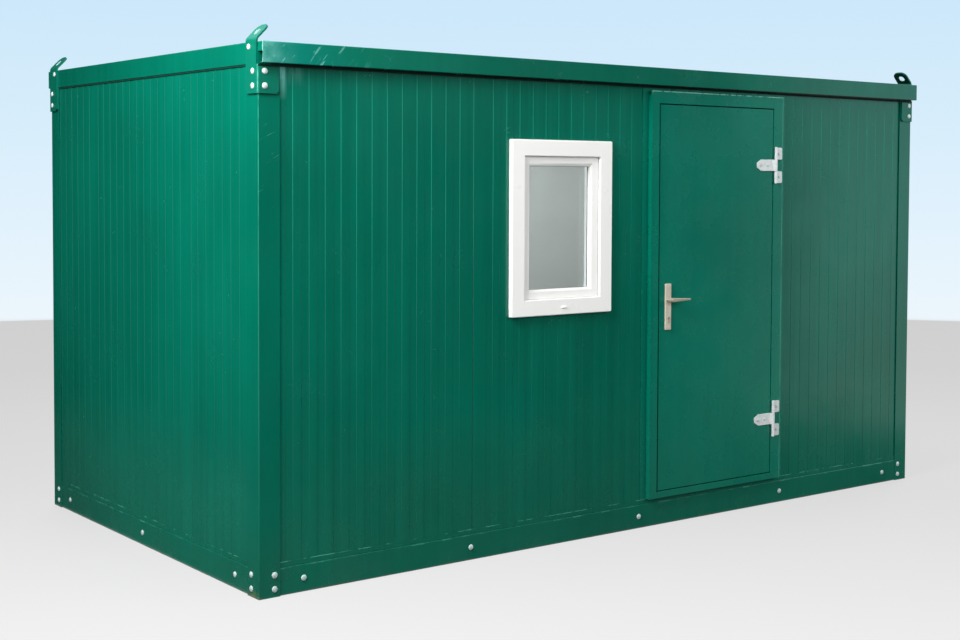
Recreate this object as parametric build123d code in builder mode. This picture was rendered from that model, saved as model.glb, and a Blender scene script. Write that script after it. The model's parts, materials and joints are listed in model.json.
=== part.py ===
from build123d import *
import os

os.makedirs("parts", exist_ok=True)

# A portable site cabin: a bolted steel frame with sandwich panel walls, one window
# and one steel door. All sizes are in millimetres. The origin is the centre of the
# floor frame in plan, on the ground. X runs along the cabin, the door side faces -Y.

# ---------------------------------------------------------------- overall sizes
cabin_length = 4250
cabin_width = 2270
cabin_height = 2300
half_length = cabin_length / 2
half_width = cabin_width / 2

# ---------------------------------------------------------------- frame sections
rail_height = 120
rail_flange = 60
rail_gauge = 4
rail_bend = 6
rail_end_gap = 2
post_leg = 100
post_gauge = 3
post_bend = 4
roof_frame_base = 2208
roof_gauge = 3
roof_flange = 60
joist_width = 50
joist_gauge = 3
joist_pitch = 600
joist_count = 7
deck_thickness = 22

# ---------------------------------------------------------------- walls
panel_thickness = 50
panel_recess = 5.5
panel_module = 1090
rib_pitch = panel_module / 14
rib_depth = 1.2
rib_flank = 1.5
front_first_rib = 42
door_side_first_rib = 69
end_first_rib = 81
joint_first_rib = 74
track_gauge = 1.5
track_height = 22
wall_base = rail_height + track_gauge
wall_height = roof_frame_base - wall_base
wall_face = half_width - panel_recess
end_face = half_length - panel_recess
wall_back = panel_recess + panel_thickness
room_inset = wall_back + track_gauge
end_panel_joints = (628, 1663)
back_panel_count = 4
panel_gap = 0.5

# ---------------------------------------------------------------- gutter and roof
gutter_reach = 40
gutter_foot = 2210
gutter_top = 2298
gutter_bend = 4
gutter_hem = 10
gutter_lip = 31
trough_floor_width = 39
trough_floor = 2261
roof_panel_top = 2275
roof_sheet = 2
roof_drip = 14
roof_panel_count = 4
roof_rib_height = 18
roof_rib_foot = 44
roof_rib_slope = 58.6
roof_ribs_per_panel = 3

# ---------------------------------------------------------------- lifting plates
plate_thickness = 8
plate_leg = 100
plate_foot = 2087
plate_front_top = 2206
plate_corner_cut = 12
lug_bend = 20
lug_angle = 45
lug_straight = 76
lug_setback = 10
lug_round = 34
lug_eye_radius = 17.5
lug_eye_from_tip = 45

# ---------------------------------------------------------------- door
frame_left = 2176 - half_length
frame_right = 3133.5 - half_length
frame_latch_width = 50
frame_hinge_width = 71.5
frame_head_width = 62
frame_proud = 22
frame_front = -half_width - frame_proud
frame_back = -half_width + wall_back
frame_base = rail_height + track_height
frame_top = 2185
frame_setback = 24
cover_width = 40
cover_gauge = 2
notch_height = 18
notch_width = 20
notch_start = 10
notch_depth = 16
sill_height = 33
stop_reach = 15
hinge_gap = 5
latch_gap = 9
head_gap = 5
seal_gap = 5.5
leaf_front = frame_front + 3
leaf_thickness = 40
opening_left = frame_left + frame_latch_width
opening_right = frame_right - frame_hinge_width
opening_base = frame_base + sill_height
opening_top = frame_top - frame_head_width
leaf_left = opening_left + latch_gap
leaf_right = opening_right - hinge_gap
leaf_base = opening_base + head_gap
leaf_top = opening_top - head_gap
leaf_width = leaf_right - leaf_left
leaf_height = leaf_top - leaf_base
leaf_back = leaf_front + leaf_thickness
stop_front = leaf_back + seal_gap

# ---------------------------------------------------------------- hinges
hinge_x = leaf_right + 12
hinge_y = leaf_front - 13
hinge_heights = (468.5, 1823)
knuckle_radius = 8
pin_radius = 4
pin_clearance = 0.25
pin_head_radius = 6
pin_head_height = 3
strap_height = 60
wing_height = 63
knuckle_gap = 1
strap_length = 136
strap_gauge = 5
strap_taper_run = 30
strap_taper_drop = 17
knuckle_root = 14
knuckle_web = 2
wing_length = 53
wing_corner = 5

# ---------------------------------------------------------------- handle and lock
handle_x = leaf_left + 58.5
lever_height = 1141
key_height = 1049
handle_plate_width = 40
handle_plate_length = 233
handle_plate_centre = 1105
handle_plate_gauge = 8
handle_plate_corner = 4
handle_plate_bevel = 2.5
neck_radius = 8.5
neck_clearance = 1
lever_stand_off = 34
lever_length = 121
grip_depth = 11
grip_root_radius = 10.5
grip_tip_radius = 4.5
grip_bevel = 3
spindle_size = 8
spindle_hole_radius = 10
cylinder_radius = 8.5
cylinder_bar = 10
cylinder_drop = 24.5
cylinder_proud = 3

# ---------------------------------------------------------------- window
window_x = 1610 - half_length
window_z = 1514
window_width = 618
window_height = 827
window_proud = 17
window_face = -half_width - window_proud
window_flange = 20
window_border = 77
window_lip = 17
window_depth = 78
sash_rebate = 15
sash_border = 46
sash_front = window_face + window_lip
sash_depth = 58
sash_gap = 1
glass_setback = 30
glass_front = sash_front + glass_setback
glass_thickness = 24
glass_bite = 12
window_corner_round = 6
window_edge_round = 5
lip_bevel = 3
bead_slope_depth = 10
bead_slope_width = 15


def keep(piece, name):
    """Label a finished piece and write it as its own file."""
    piece.part.label = name
    export_step(piece.part, f"parts/{name}.step")


def mirrored(piece, plane, name):
    """Write the opposite-handed copy of a piece as a piece of its own."""
    with BuildPart() as copy:
        add(mirror(piece.part, about=plane, mode=Mode.PRIVATE))
    keep(copy, name)


# ================================================================ floor frame
def floor_rail(origin, inward, length, name):
    """A channel with its web outside and its flanges towards the floor."""
    along = Vector(inward).cross(Vector(0, 0, 1))
    section_plane = Plane(origin=origin, x_dir=inward, z_dir=along)
    with BuildPart() as rail:
        with BuildSketch(section_plane):
            with BuildLine():
                FilletPolyline(
                    (rail_flange, 0),
                    (0, 0),
                    (0, rail_height),
                    (rail_flange, rail_height),
                    radius=rail_bend,
                )
                offset(amount=rail_gauge, side=Side.RIGHT)
            make_face()
        extrude(amount=length / 2, both=True)
    keep(rail, name)


rail_front = half_width - post_gauge
rail_end = half_length - post_gauge
long_rail_length = 2 * (rail_end - rail_end_gap)
floor_rail((0, -rail_front, 0), (0, 1, 0), long_rail_length, "floor_rail_front")
floor_rail((0, rail_front, 0), (0, -1, 0), long_rail_length, "floor_rail_back")
end_rail_length = 2 * (rail_front - rail_flange)
floor_rail((-rail_end, 0, 0), (1, 0, 0), end_rail_length, "floor_rail_left")
floor_rail((rail_end, 0, 0), (-1, 0, 0), end_rail_length, "floor_rail_right")

# Box joists, coped at each end to slide under the rail's top flange.
joist_end = rail_front - rail_bend
cope = rail_front - rail_flange
joist_low = rail_gauge
joist_high = rail_height - rail_gauge
with BuildPart() as joists:
    with BuildSketch(Plane.YZ.offset(-joist_width / 2)):
        with Locations((0, (joist_low + joist_high) / 2)):
            Rectangle(2 * joist_end, joist_high - joist_low)
        with Locations((0, (joist_high + rail_height) / 2)):
            Rectangle(2 * cope, rail_gauge)
    extrude(amount=joist_width)
    with BuildSketch(Plane.XZ):
        with Locations((0, (joist_low + joist_high) / 2)):
            Rectangle(
                joist_width - 2 * joist_gauge,
                joist_high - joist_low - 2 * joist_gauge,
            )
    extrude(amount=joist_end, both=True, mode=Mode.SUBTRACT)
with BuildPart() as floor_joists:
    with GridLocations(joist_pitch, 1, joist_count, 1):
        add(joists.part)
keep(floor_joists, "floor_joists")

# One deck on the joists and rail flanges, inside the wall tracks.
with BuildPart() as floor_deck:
    with BuildSketch(Plane.XY.offset(rail_height)):
        Rectangle(2 * (half_length - room_inset), 2 * (half_width - room_inset))
    extrude(amount=deck_thickness)
keep(floor_deck, "floor_deck")


# ================================================================ corner posts
def corner_post(corner, along, name):
    """Folded angle that laps the corner from the ground to the roof frame."""
    with BuildPart() as post:
        with BuildSketch(Plane(origin=corner, x_dir=along, z_dir=(0, 0, 1))):
            with BuildLine():
                FilletPolyline((post_leg, 0), (0, 0), (0, post_leg), radius=post_bend)
                offset(amount=post_gauge, side=Side.RIGHT)
            make_face()
        extrude(amount=roof_frame_base)
    keep(post, name)


corner_post((-half_length, -half_width, 0), (1, 0, 0), "corner_post_front_left")
corner_post((half_length, -half_width, 0), (0, 1, 0), "corner_post_front_right")
corner_post((half_length, half_width, 0), (-1, 0, 0), "corner_post_back_right")
corner_post((-half_length, half_width, 0), (0, -1, 0), "corner_post_back_left")

# ================================================================ lifting plates
# A thick corner bracket. Its end leg runs up past the roof rail and is bent
# inwards into a lifting lug with a shackle eye.
plate_x = -half_length - plate_thickness
plate_y = -half_width - plate_thickness
lug_front = plate_y + lug_setback
lug_width = plate_leg - lug_setback
lug_middle = lug_front + lug_width / 2
with BuildPart() as lifting_plate:
    with BuildSketch(Plane.XY.offset(plate_foot)):
        with BuildLine():
            FilletPolyline(
                (plate_x + plate_leg, plate_y),
                (plate_x, plate_y),
                (plate_x, plate_y + plate_leg),
                radius=post_bend + plate_thickness,
            )
            offset(amount=plate_thickness, side=Side.RIGHT)
        make_face()
    extrude(amount=plate_front_top - plate_foot)
    # the end leg, its bend and the lug are one strip, drawn as seen from the front
    with BuildSketch(Plane.XZ.offset(-(lug_front + lug_width))):
        with BuildLine():
            leg = Line((plate_x, plate_front_top), (plate_x, cabin_height))
            bend = JernArc(leg @ 1, leg % 1, lug_bend + plate_thickness, -lug_angle)
            lug = Line(bend @ 1, bend @ 1 + (bend % 1) * lug_straight)
            offset(amount=plate_thickness, side=Side.RIGHT)
        make_face()
    extrude(amount=lug_width)
    lug_run = Vector((lug % 1).X, 0, (lug % 1).Y)
    lug_normal = Vector(0, 1, 0).cross(lug_run) * -1
    lug_tip = Vector((lug @ 1).X, lug_middle, (lug @ 1).Y)
    tip_corners = edges().filter_by(Axis((0, 0, 0), lug_normal)).sort_by(Axis.Z)[-2:]
    fillet(tip_corners, radius=lug_round)
    eye = Plane(lug_tip - lug_run * lug_eye_from_tip, x_dir=(0, 1, 0), z_dir=lug_normal)
    with Locations(eye):
        Hole(lug_eye_radius, depth=plate_thickness)
    foot_edges = edges().group_by(Axis.Z)[0]
    front_corner = foot_edges.filter_by(Axis.Y).sort_by(Axis.X)[-1]
    end_corner = foot_edges.filter_by(Axis.X).sort_by(Axis.Y)[-1]
    chamfer([front_corner, end_corner], plate_corner_cut)
keep(lifting_plate, "lifting_plate_front_left")
mirrored(lifting_plate, Plane.YZ, "lifting_plate_front_right")
mirrored(lifting_plate, Plane.XZ, "lifting_plate_back_left")
with BuildPart() as lifting_plate_far:
    add(lifting_plate.part.rotate(Axis.Z, 180))
keep(lifting_plate_far, "lifting_plate_back_right")

# ================================================================ wall tracks
# Folded channels on the floor rails that hold the feet of the panels.
def wall_track(origin, inward, length):
    """One run of channel, centred on its origin."""
    along = Vector(inward).cross(Vector(0, 0, 1))
    with BuildPart(mode=Mode.PRIVATE) as track:
        with BuildSketch(Plane(origin=origin, x_dir=inward, z_dir=along)):
            with BuildLine():
                Polyline(
                    (0, track_height),
                    (0, 0),
                    (panel_thickness + 2 * track_gauge, 0),
                    (panel_thickness + 2 * track_gauge, track_height),
                )
                offset(amount=track_gauge, side=Side.LEFT)
            make_face()
        extrude(amount=length / 2, both=True)
    return track.part


track_face = wall_face + track_gauge
track_end = half_length - panel_recess + track_gauge
end_run = 2 * (half_width - room_inset) - 2 * panel_gap
with BuildPart() as wall_tracks:
    add(wall_track((0, -track_face, rail_height), (0, 1, 0), 2 * track_end))
    add(wall_track((0, track_face, rail_height), (0, -1, 0), 2 * track_end))
    add(wall_track((-track_end, 0, rail_height), (1, 0, 0), end_run))
    add(wall_track((track_end, 0, rail_height), (-1, 0, 0), end_run))
keep(wall_tracks, "wall_tracks")


# ================================================================ wall panels
def panel_outline(width, rib_start):
    """Corner points of a panel in plan: a flat back and a micro-ribbed face."""
    points = [(0, 0)]
    start = rib_start
    while start + rib_pitch / 2 < width - rib_flank:
        end = start + rib_pitch / 2
        points += [
            (start, 0),
            (start + rib_flank, rib_depth),
            (end - rib_flank, rib_depth),
            (end, 0),
        ]
        start += rib_pitch
    return points + [(width, 0), (width, panel_thickness), (0, panel_thickness)]


def wall_panel(corner, along, width, rib_start):
    """A sandwich panel standing in its track. Its face is drawn from corner along."""
    with BuildPart() as panel:
        with BuildSketch(Plane(origin=corner, x_dir=along, z_dir=(0, 0, 1))):
            with BuildLine():
                Polyline(*panel_outline(width, rib_start), close=True)
            make_face()
        extrude(amount=wall_height)
    return panel


front_start = -half_length + panel_recess
front_joint = front_start + panel_module
panel = wall_panel(
    (front_start, -wall_face, wall_base),
    (1, 0, 0),
    panel_module - panel_gap,
    front_first_rib,
)
keep(panel, "front_panel_left")

panel = wall_panel(
    (frame_right, -wall_face, wall_base),
    (1, 0, 0),
    end_face - frame_right,
    door_side_first_rib,
)
keep(panel, "front_panel_right")

window_panel = wall_panel(
    (front_joint, -wall_face, wall_base),
    (1, 0, 0),
    frame_left - front_joint,
    joint_first_rib,
)
window_hole_width = window_width - 2 * window_flange
window_hole_height = window_height - 2 * window_flange
with BuildPart() as front_panel_window:
    add(window_panel.part)
    with BuildSketch(Plane.XZ.offset(wall_face)):
        with Locations((window_x, window_z)):
            Rectangle(window_hole_width, window_hole_height)
    extrude(amount=panel_thickness, both=True, mode=Mode.SUBTRACT)
keep(front_panel_window, "front_panel_window")

back_width = 2 * end_face / back_panel_count
for number in range(back_panel_count):
    start = end_face - number * back_width
    rib_start = joint_first_rib if number else front_first_rib
    panel = wall_panel(
        (start, wall_face, wall_base), (-1, 0, 0), back_width - panel_gap, rib_start
    )
    keep(panel, f"back_panel_{number + 1}")

# Each end wall is three panels, and the middle one is whole.
end_limit = half_width - room_inset
joint_front = -half_width + end_panel_joints[0]
joint_back = -half_width + end_panel_joints[1]
end_walls = {
    "front": (-end_limit, joint_front, end_first_rib),
    "middle": (joint_front, joint_back, joint_first_rib),
    "back": (joint_back, end_limit, joint_first_rib),
}
for place, (near, far, rib_start) in end_walls.items():
    width = far - near - panel_gap
    panel = wall_panel((end_face, near, wall_base), (0, 1, 0), width, rib_start)
    keep(panel, f"right_panel_{place}")
    mirrored(panel, Plane.YZ, f"left_panel_{place}")

# ================================================================ gutters
# A roof beam with the gutter in front of it: an angle that carries the roof, a
# fascia with a hem and a foot lip, and the trough floor and end caps between them.
with BuildPart() as gutter:
    with BuildSketch(Plane.YZ.offset(-half_length)):
        with BuildLine():
            FilletPolyline(
                (-half_width + roof_flange, roof_frame_base),
                (-half_width, roof_frame_base),
                (-half_width, roof_panel_top),
                radius=gutter_bend,
            )
            offset(amount=roof_gauge, side=Side.RIGHT)
        make_face()
        with BuildLine():
            FilletPolyline(
                (-half_width - gutter_reach + gutter_lip, gutter_foot),
                (-half_width - gutter_reach, gutter_foot),
                (-half_width - gutter_reach, gutter_top),
                (-half_width - gutter_reach + gutter_hem, gutter_top),
                radius=gutter_bend,
            )
            offset(amount=roof_gauge, side=Side.RIGHT)
        make_face()
        with Locations((-half_width, trough_floor)):
            Rectangle(trough_floor_width, roof_gauge, align=(Align.MAX, Align.MAX))
    extrude(amount=cabin_length)
    trough_depth = gutter_top - trough_floor
    cap_places = [(-half_length, -half_width, trough_floor)]
    cap_places.append((half_length - roof_gauge, -half_width, trough_floor))
    with Locations(cap_places):
        Box(
            roof_gauge,
            trough_floor_width,
            trough_depth - roof_gauge / 2,
            align=(Align.MIN, Align.MAX, Align.MIN),
        )
keep(gutter, "gutter_front")
mirrored(gutter, Plane.XZ, "gutter_back")

# ================================================================ end roof rails
rail_inner = half_width - roof_gauge
with BuildPart() as roof_rail:
    with BuildSketch(Plane.XZ):
        with BuildLine():
            FilletPolyline(
                (-half_length + roof_flange, roof_frame_base),
                (-half_length, roof_frame_base),
                (-half_length, cabin_height),
                (-half_length + roof_flange / 2, cabin_height),
                radius=gutter_bend,
            )
            offset(amount=roof_gauge, side=Side.RIGHT)
        make_face()
    extrude(amount=half_width - roof_flange, both=True)
    with BuildSketch(Plane.YZ.offset(-half_length)):
        with Locations((0, (roof_frame_base + cabin_height) / 2)):
            web_height = cabin_height - roof_frame_base - 2 * gutter_bend
            Rectangle(2 * rail_inner, web_height)
    extrude(amount=roof_gauge)
keep(roof_rail, "roof_rail_left")
mirrored(roof_rail, Plane.YZ, "roof_rail_right")

# ================================================================ roof panels
# Insulated panels lying across the cabin, with trapezoid ribs that run to both
# gutters and a top sheet that drips past the roof beams.
roof_end = half_length - gutter_bend
roof_panel_width = 2 * roof_end / roof_panel_count
roof_base = roof_frame_base + roof_gauge
rib_spacing = roof_panel_width / roof_ribs_per_panel
for number in range(roof_panel_count):
    start = -roof_end + number * roof_panel_width
    middle = start + roof_panel_width / 2
    with BuildPart() as roof_panel:
        with BuildSketch(Plane.XZ):
            with Locations((middle, (roof_base + roof_panel_top) / 2)):
                Rectangle(roof_panel_width - panel_gap, roof_panel_top - roof_base)
        extrude(amount=half_width - gutter_bend, both=True)
        with BuildSketch(Plane.XZ):
            with Locations((middle, roof_panel_top + roof_sheet / 2)):
                Rectangle(roof_panel_width - panel_gap, roof_sheet)
            with Locations((middle, roof_panel_top + roof_sheet)):
                with GridLocations(rib_spacing, 1, roof_ribs_per_panel, 1):
                    Trapezoid(
                        roof_rib_foot,
                        roof_rib_height,
                        roof_rib_slope,
                        align=(Align.CENTER, Align.MIN),
                    )
        extrude(amount=half_width + roof_drip, both=True)
    keep(roof_panel, f"roof_panel_{number + 1}")

# ================================================================ door frame
# Steel jambs, head and sill that stand proud of the wall, with a stop lip behind the
# leaf on all four sides. Their feet are held in the wall track like the panels.
stop_base = opening_base + stop_reach
stop_top = opening_top - stop_reach


def upright(base, top, front, back, outer, width, align):
    """A length of bar between two heights and two depths, beside the line X = outer."""
    with BuildPart(mode=Mode.PRIVATE) as length_of_bar:
        with BuildSketch(Plane.XY.offset(base)):
            with Locations((outer, front)):
                Rectangle(width, back - front, align=(align, Align.MIN))
        extrude(amount=top - base)
    return length_of_bar.part


def door_jamb(outer, face_width, side, name):
    """An upright of the door frame; side is 1 where the opening lies towards +X."""
    inside = (outer, face_width, Align.MIN if side > 0 else Align.MAX)
    lip = (outer, face_width + stop_reach, inside[2])
    cover = (outer, cover_width, Align.MAX if side > 0 else Align.MIN)
    notch = (outer, notch_width, inside[2])
    with BuildPart() as jamb:
        add(upright(wall_base, frame_base, -wall_face, frame_back, *inside))
        add(upright(frame_base, frame_top, frame_front, frame_back, *inside))
        setback_front = frame_front + frame_setback
        add(upright(frame_top, roof_frame_base, setback_front, frame_back, *inside))
        add(upright(stop_base, stop_top, stop_front, frame_back, *lip))
        # cover strip on the wall beside the frame
        cover_front = -wall_face - cover_gauge
        add(upright(frame_base, roof_frame_base, cover_front, -wall_face, *cover))
        # the folded corner is cut open at the top of the outer side
        notch_front = frame_front + notch_start
        notch_base = frame_top - notch_height
        corner_cut = upright(
            notch_base, frame_top, notch_front, notch_front + notch_depth, *notch
        )
        add(corner_cut, mode=Mode.SUBTRACT)
    keep(jamb, name)


door_jamb(frame_left, opening_left - frame_left, 1, "door_jamb_left")
door_jamb(frame_right, frame_right - opening_right, -1, "door_jamb_right")

with BuildPart() as door_head:
    with BuildSketch(Plane.YZ.offset(opening_left)):
        with BuildLine():
            Polyline(
                (frame_front, opening_top),
                (stop_front, opening_top),
                (stop_front, stop_top),
                (frame_back, stop_top),
                (frame_back, roof_frame_base),
                (frame_front + frame_setback, roof_frame_base),
                (frame_front + frame_setback, frame_top),
                (frame_front, frame_top),
                close=True,
            )
        make_face()
    extrude(amount=opening_right - opening_left)
keep(door_head, "door_head")

with BuildPart() as door_sill:
    with BuildSketch(Plane.YZ.offset(opening_left)):
        with BuildLine():
            Polyline(
                (frame_front, frame_base),
                (-wall_face, frame_base),
                (-wall_face, wall_base),
                (frame_back, wall_base),
                (frame_back, stop_base),
                (stop_front, stop_base),
                (stop_front, opening_base),
                (frame_front, opening_base),
                close=True,
            )
        make_face()
    extrude(amount=opening_right - opening_left)
keep(door_sill, "door_sill")

# ================================================================ door leaf
leaf_middle = (leaf_left + leaf_right) / 2
with BuildPart() as door_leaf:
    with BuildSketch(Plane.XZ.offset(-leaf_back)):
        with Locations((leaf_middle, (leaf_base + leaf_top) / 2)):
            Rectangle(leaf_width, leaf_height)
        with Locations((handle_x, lever_height)):
            Circle(spindle_hole_radius, mode=Mode.SUBTRACT)
        with Locations((handle_x, key_height)):
            Circle(cylinder_radius, mode=Mode.SUBTRACT)
            Rectangle(
                cylinder_bar,
                cylinder_drop,
                align=(Align.CENTER, Align.MAX),
                mode=Mode.SUBTRACT,
            )
    extrude(amount=leaf_thickness)
keep(door_leaf, "door_leaf")


# ================================================================ hinges
def hinge_strap(height):
    """The leaf's half of a tee hinge: a tapered strap that ends in its knuckle."""
    with BuildPart(mode=Mode.PRIVATE) as strap:
        with BuildSketch(Plane.XY.offset(height - strap_height / 2)):
            with Locations((hinge_x, hinge_y)):
                Circle(knuckle_radius)
            with Locations((hinge_x - knuckle_root, leaf_front - strap_gauge)):
                Rectangle(strap_gauge, knuckle_web, align=(Align.MAX, Align.MIN))
            make_hull()
            with Locations((hinge_x, hinge_y)):
                Circle(pin_radius + pin_clearance, mode=Mode.SUBTRACT)
        extrude(amount=strap_height)
        # the flat of the strap, as seen from the front
        tip_x = hinge_x - strap_length
        half_strap = strap_height / 2
        half_tip = half_strap - strap_taper_drop
        with BuildSketch(Plane.XZ.offset(-leaf_front)):
            with BuildLine():
                Polyline(
                    (hinge_x - knuckle_root, height + half_strap),
                    (tip_x + strap_taper_run, height + half_strap),
                    (tip_x, height + half_tip),
                    (tip_x, height - half_tip),
                    (tip_x + strap_taper_run, height - half_strap),
                    (hinge_x - knuckle_root, height - half_strap),
                    close=True,
                )
            make_face()
        extrude(amount=strap_gauge)
    return strap.part


def hinge_wings(height):
    """The frame's half: a wing above and below the strap, and the pin through both."""
    pin_length = strap_height + 2 * (knuckle_gap + wing_height)
    with BuildPart(mode=Mode.PRIVATE) as wings:
        for side in (1, -1):
            edge = height + side * (strap_height / 2 + knuckle_gap)
            with BuildSketch(Plane.XY.offset(edge)):
                with Locations((hinge_x, hinge_y)):
                    Circle(knuckle_radius)
                with Locations((hinge_x + knuckle_root, frame_front)):
                    Rectangle(strap_gauge, strap_gauge, align=(Align.MIN, Align.MAX))
                make_hull()
                with Locations((hinge_x + knuckle_radius, frame_front)):
                    Rectangle(
                        wing_length - knuckle_radius,
                        strap_gauge,
                        align=(Align.MIN, Align.MAX),
                    )
            extrude(amount=side * wing_height)
        wing_corners = edges().filter_by(Axis.Y).group_by(Axis.X)[-1]
        chamfer(wing_corners, wing_corner)
        with BuildSketch(Plane.XY.offset(height)):
            with Locations((hinge_x, hinge_y)):
                Circle(pin_radius)
        extrude(amount=pin_length / 2, both=True)
        for side in (1, -1):
            with BuildSketch(Plane.XY.offset(height + side * pin_length / 2)):
                with Locations((hinge_x, hinge_y)):
                    Circle(pin_head_radius)
            extrude(amount=side * pin_head_height)
    return wings.part


with BuildPart() as hinge_straps:
    for height in hinge_heights:
        add(hinge_strap(height))
keep(hinge_straps, "hinge_straps")

with BuildPart() as hinge_wing_plates:
    for height in hinge_heights:
        add(hinge_wings(height))
keep(hinge_wing_plates, "hinge_wings")

# ================================================================ door handle
# A long plate on each face, a lever on each side and a profile cylinder below.
outer_plate_face = leaf_front - handle_plate_gauge
inner_plate_face = leaf_back + handle_plate_gauge
with BuildPart() as handle_plates:
    for back_plane in (leaf_front, inner_plate_face):
        with BuildSketch(Plane.XZ.offset(-back_plane)):
            with Locations((handle_x, handle_plate_centre)):
                RectangleRounded(handle_plate_width, handle_plate_length, handle_plate_corner)
            with Locations((handle_x, lever_height)):
                Circle(neck_radius + neck_clearance, mode=Mode.SUBTRACT)
            with Locations((handle_x, key_height)):
                Circle(cylinder_radius, mode=Mode.SUBTRACT)
                Rectangle(
                    cylinder_bar,
                    cylinder_drop,
                    align=(Align.CENTER, Align.MAX),
                    mode=Mode.SUBTRACT,
                )
        extrude(amount=handle_plate_gauge)
    for outer_face in (faces().sort_by(Axis.Y)[0], faces().sort_by(Axis.Y)[-1]):
        chamfer(outer_face.outer_wire().edges(), handle_plate_bevel)
keep(handle_plates, "handle_plates")

with BuildPart() as lock_cylinder:
    with BuildSketch(Plane.XZ.offset(-(inner_plate_face + cylinder_proud))):
        with Locations((handle_x, key_height)):
            Circle(cylinder_radius)
            Rectangle(cylinder_bar, cylinder_drop, align=(Align.CENTER, Align.MAX))
    lock_length = inner_plate_face - outer_plate_face + 2 * cylinder_proud
    extrude(amount=lock_length)
keep(lock_cylinder, "lock_cylinder")


def door_lever(start, out, name):
    """A round neck through the plate and a tapered grip towards the hinges."""
    grip_back = start + out * (lever_stand_off - grip_depth / 2)
    neck = Plane(origin=(handle_x, start, lever_height), x_dir=(1, 0, 0), z_dir=(0, out, 0))
    grip = Plane(origin=(handle_x, grip_back, lever_height), x_dir=(1, 0, 0), z_dir=(0, out, 0))
    with BuildPart() as lever:
        with BuildSketch(grip):
            Circle(grip_root_radius)
            with Locations((lever_length - grip_tip_radius, 0)):
                Circle(grip_tip_radius)
            make_hull()
        extrude(amount=grip_depth)
        outer_face = faces().sort_by(Axis.Y)[0 if out < 0 else -1]
        chamfer(outer_face.edges(), grip_bevel)
        with BuildSketch(neck):
            Circle(neck_radius)
        extrude(amount=lever_stand_off - grip_depth / 2)
        with BuildSketch(neck):
            Rectangle(spindle_size, spindle_size)
        extrude(amount=-spindle_half)
    keep(lever, name)


spindle_half = leaf_thickness / 2 + handle_plate_gauge
door_lever(outer_plate_face, -1, "lever_outer")
door_lever(inner_plate_face, 1, "lever_inner")

# ================================================================ window
# A white outer frame clamped on the panel, a sash behind its lip and a sealed pane.
lip_width = window_width - 2 * window_border
lip_height = window_height - 2 * window_border
rebate_width = lip_width + 2 * sash_rebate
rebate_height = lip_height + 2 * sash_rebate
pane_width = lip_width - 2 * sash_border
pane_height = lip_height - 2 * sash_border
glass_width = pane_width + 2 * glass_bite
glass_height = pane_height + 2 * glass_bite
flange_depth = -wall_face - window_face


def window_plane(depth_place):
    """A plane across the window at that Y, looking into the cabin."""
    return Plane(origin=(window_x, depth_place, window_z), x_dir=(1, 0, 0), z_dir=(0, 1, 0))


with BuildPart() as window_frame:
    with BuildSketch(window_plane(window_face)):
        RectangleRounded(window_width, window_height, window_corner_round)
    extrude(amount=flange_depth)
    fillet(edges().group_by(Axis.Y)[0], radius=window_edge_round)
    with BuildSketch(window_plane(window_face + flange_depth)):
        Rectangle(window_hole_width, window_hole_height)
    extrude(amount=window_depth - flange_depth)
    with BuildSketch(window_plane(window_face)):
        Rectangle(lip_width, lip_height)
    extrude(amount=window_depth, mode=Mode.SUBTRACT)
    with BuildSketch(window_plane(window_face)):
        Rectangle(lip_width + 2 * lip_bevel, lip_height + 2 * lip_bevel)
    extrude(amount=lip_bevel, taper=45, mode=Mode.SUBTRACT)
    with BuildSketch(window_plane(sash_front)):
        Rectangle(rebate_width, rebate_height)
    extrude(amount=window_depth - window_lip, mode=Mode.SUBTRACT)
keep(window_frame, "window_frame")

with BuildPart() as window_sash:
    with BuildSketch(window_plane(sash_front)):
        Rectangle(rebate_width - sash_gap, rebate_height - sash_gap)
    extrude(amount=sash_depth)
    with BuildSketch(window_plane(sash_front)):
        Rectangle(pane_width, pane_height)
    extrude(amount=sash_depth, mode=Mode.SUBTRACT)
    # the outer bead slopes in towards the pane
    with BuildSketch(window_plane(sash_front)):
        Rectangle(pane_width + 2 * bead_slope_width, pane_height + 2 * bead_slope_width)
    with BuildSketch(window_plane(sash_front + bead_slope_depth)):
        Rectangle(pane_width, pane_height)
    loft(mode=Mode.SUBTRACT)
    with BuildSketch(window_plane(glass_front)):
        Rectangle(glass_width, glass_height)
    extrude(amount=glass_thickness, mode=Mode.SUBTRACT)
keep(window_sash, "window_sash")

with BuildPart() as window_glass:
    with BuildSketch(window_plane(glass_front)):
        Rectangle(glass_width, glass_height)
    extrude(amount=glass_thickness)
keep(window_glass, "window_glass")
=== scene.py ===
import json
import math

import bmesh
import bpy
from mathutils import Matrix, Vector

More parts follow.
